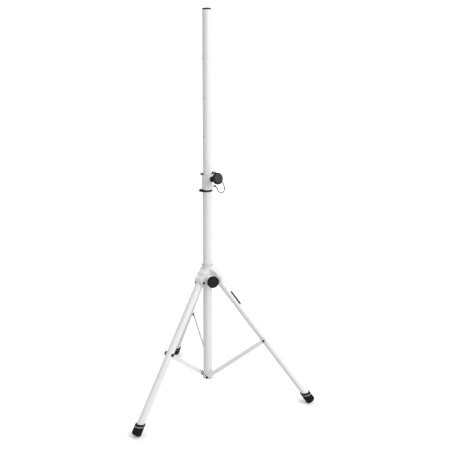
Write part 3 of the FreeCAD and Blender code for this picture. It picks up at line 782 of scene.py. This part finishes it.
# ------------------------------------------------------------------ feet: rubber boots with a grey band
def boot(k, az):
    tilt = math.radians(12.0)
    nx, nz = math.sin(tilt), -math.cos(tilt)            # the rim plane's normal in the leg's plane
    rim_s = LEG_L - FOOT_LEN
    piv = Vector((PIV_R, 0, PIV_Z))
    n = Vector((nx, 0, nz))
    slope = -(n.dot(LN)) / (n.dot(LD))                  # how s changes with height on the LN side, along a slanted cut
    R = leg_frame(az)
    seg = 112

    def row(bm, s0, r, w):
        out = []
        for i in range(seg):
            th = TAU * i / seg
            a, b = math.cos(th) * r, math.sin(th) * r
            s = s0 + w * slope * a
            p = piv + LD * s + LN * a + Vector((0, 1, 0)) * b
            if p.z < 0:
                p = p - Vector((0, 0, p.z))
            out.append(bm.verts.new(AX + R @ p * MM))
        return out

    F = FOOT_R
    e = LEG_L + 1.2
    g = rim_s + 9.0
    prof = [(rim_s + 7.0, 15.02, 1.0), (rim_s + 1.4, 15.02, 1.0), (rim_s + 0.5, 15.5, 1.0), (rim_s, 16.4, 1.0), (rim_s, 18.2, 1.0),
            (rim_s + 0.35, 19.1, 1.0), (rim_s + 1.1, F - 0.08, 1.0), (rim_s + 2.2, F, 1.0), (g - 0.9, F, 1.0), (g - 0.3, F - 0.12, 1.0),
            (g, F - 0.45, 1.0), (g + 0.05, F - 1.2, 1.0), (g + 3.35, F - 1.2, 1.0), (g + 3.4, F - 0.45, 1.0), (g + 3.7, F - 0.12, 1.0), (g + 4.3, F, 1.0),
            (g + 7.0, F, 0.8), (g + 10.0, F, 0.5), (e - 13.0, F, 0.15), (e - 12.0, F, 0.0), (e - 11.6, F - 0.35, 0.0), (e - 11.0, F - 0.5, 0.0), (e - 10.4, F - 0.35, 0.0),
            (e - 10.0, F, 0.0), (e - 8.2, F, 0.0), (e - 6.6, F - 0.15, 0.0), (e - 5.2, F - 0.5, 0.0), (e - 4.0, F - 0.95, 0.0), (e - 2.8, F - 1.75, 0.0),
            (e - 1.6, F - 2.8, 0.0), (e - 0.6, F - 4.1, 0.0), (e + 0.3, F - 5.6, 0.0), (e + 0.9, F - 7.2, 0.0), (e + 1.4, F - 9.5, 0.0),
            (e + 1.75, F - 12.0, 0.0), (e + 1.95, 5.0, 0.0), (e + 2.05, 1.2, 0.0)]
    bm = bmesh.new()
    rows = [row(bm, *q) for q in prof]
    for a, b in zip(rows, rows[1:]):
        for i in range(seg):
            jn = (i + 1) % seg
            bm.faces.new((a[i], b[i], b[jn], a[jn]))
    bm.faces.new(rows[-1])
    bmesh.ops.holes_fill(bm, edges=[ed for ed in bm.edges if ed.is_boundary], sides=0)
    foot = new_object("leg_%s_boot" % k, bm, "leg_" + k, 42)
    paint(foot, rubber)
    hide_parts("leg_%s_foot" % k)
    bm = bmesh.new()
    prof = [(g + 0.12, F - 1.15, 1.0), (g + 0.12, F - 0.1, 1.0), (g + 0.35, F + 0.10, 1.0), (g + 0.8, F + 0.18, 1.0), (g + 1.7, F + 0.2, 1.0), (g + 2.6, F + 0.18, 1.0),
            (g + 3.05, F + 0.10, 1.0), (g + 3.28, F - 0.1, 1.0), (g + 3.28, F - 1.15, 1.0)]
    rows = [row(bm, *q) for q in prof]
    rows.append(rows[0])
    for a, b in zip(rows, rows[1:]):
        for i in range(seg):
            jn = (i + 1) % seg
            bm.faces.new((a[i], b[i], b[jn], a[jn]))
    band = new_object("leg_%s_boot_band" % k, bm, "leg_" + k, 42)
    paint(band, band_grey)
    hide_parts("leg_%s_foot_band" % k)


for k, az in LEGS.items():
    boot(k, az)

# ------------------------------------------------------------------ broken edges on the CAD's own pieces
for k in LEGS:
    edge_break("leg_%s_knuckle" % k, 0.6, 40)
    edge_break("leg_%s_brace_spacer" % k, 0.3, 40)
edge_break("bottom_plug", 0.4, 50)
edge_break("brace_pivot_spacers", 0.3, 40)

# ------------------------------------------------------------------ stage and light
scene = bpy.context.scene
scene.view_settings.view_transform = "Standard"
scene.view_settings.look = "None"

bm = bmesh.new()
bmesh.ops.create_circle(bm, cap_ends=True, segments=96, radius=60.0)
me = bpy.data.meshes.new("floor")
bm.to_mesh(me)
bm.free()
floor = bpy.data.objects.new("floor", me)
floor.location = (AX.x, AX.y, -0.0004)
scene.collection.objects.link(floor)
fm = bpy.data.materials.new("floor_white")
fm.use_nodes = True
nt = fm.node_tree
sh = nt.nodes["Principled BSDF"]
sh.inputs["Base Color"].default_value = (0.93, 0.93, 0.93, 1)
sh.inputs["Roughness"].default_value = 0.45
sh.inputs["Specular IOR Level"].default_value = 0.35
sh.inputs["Emission Color"].default_value = (1, 1, 1, 1)
lp = nt.nodes.new("ShaderNodeLightPath")
tc = nt.nodes.new("ShaderNodeTexCoord")
# distance to the nearest foot: the floor's camera-only glow drops from 0.66 to 0.16 within about 3 to 8.5 cm of a foot,
# which is painted shade round each foot laid over the real contact shadows
near = None
for az in LEGS.values():
    gap = nt.nodes.new("ShaderNodeVectorMath")
    gap.operation = "DISTANCE"
    gap.inputs[1].default_value = (0.430 * math.cos(math.radians(az)), 0.430 * math.sin(math.radians(az)), 0)
    nt.links.new(tc.outputs["Object"], gap.inputs[0])
    if near is None:
        near = gap.outputs["Value"]
    else:
        least = nt.nodes.new("ShaderNodeMath")
        least.operation = "MINIMUM"
        nt.links.new(near, least.inputs[0])
        nt.links.new(gap.outputs["Value"], least.inputs[1])
        near = least.outputs["Value"]
glow_with_painted_foot_shade = nt.nodes.new("ShaderNodeMapRange")
glow_with_painted_foot_shade.interpolation_type = "SMOOTHSTEP"
glow_with_painted_foot_shade.inputs["From Min"].default_value = 0.028
glow_with_painted_foot_shade.inputs["From Max"].default_value = 0.085
glow_with_painted_foot_shade.inputs["To Min"].default_value = 0.16
glow_with_painted_foot_shade.inputs["To Max"].default_value = 0.66
nt.links.new(near, glow_with_painted_foot_shade.inputs["Value"])
lm = nt.nodes.new("ShaderNodeMapRange")
lm.inputs["To Min"].default_value = 0.02
nt.links.new(glow_with_painted_foot_shade.outputs["Result"], lm.inputs["To Max"])
nt.links.new(lp.outputs["Is Camera Ray"], lm.inputs["Value"])
nt.links.new(lm.outputs["Result"], sh.inputs["Emission Strength"])
tone = nt.nodes.new("ShaderNodeMix")
tone.data_type = "RGBA"
tone.inputs[6].default_value = (0.64, 0.64, 0.64, 1)
tone.inputs[7].default_value = (0.93, 0.93, 0.93, 1)
nt.links.new(lp.outputs["Is Camera Ray"], tone.inputs[0])
nt.links.new(tone.outputs[2], sh.inputs["Base Color"])
floor.data.materials.append(fm)

world = bpy.data.worlds.new("studio")
scene.world = world
world.use_nodes = True
bg = world.node_tree.nodes["Background"]
bg.inputs["Color"].default_value = (1.0, 1.0, 1.0, 1)
bg.inputs["Strength"].default_value = 0.72

R3 = spin @ Vector((1, 0, 0))
A3 = spin @ Vector((0, 1, 0))
Z3 = Vector((0, 0, 1))
target = AX + Vector((0, 0, 0.55))


def area(name, where, size, power, size_y=None):
    li = bpy.data.lights.new(name, "AREA")
    li.shape = "RECTANGLE" if size_y else "SQUARE"
    li.size = size
    if size_y:
        li.size_y = size_y
    li.energy = power
    ob = bpy.data.objects.new(name, li)
    ob.location = where
    ob.rotation_mode = "QUATERNION"
    ob.rotation_quaternion = (target - where).to_track_quat("-Z", "Y")
    scene.collection.objects.link(ob)
    return ob


area("key", target + R3 * 2.5 - A3 * 1.6 + Z3 * 1.9, 2.0, 68.0, 2.6)
area("top", target + R3 * 0.4 - A3 * 0.2 + Z3 * 4.2, 3.6, 12.0)
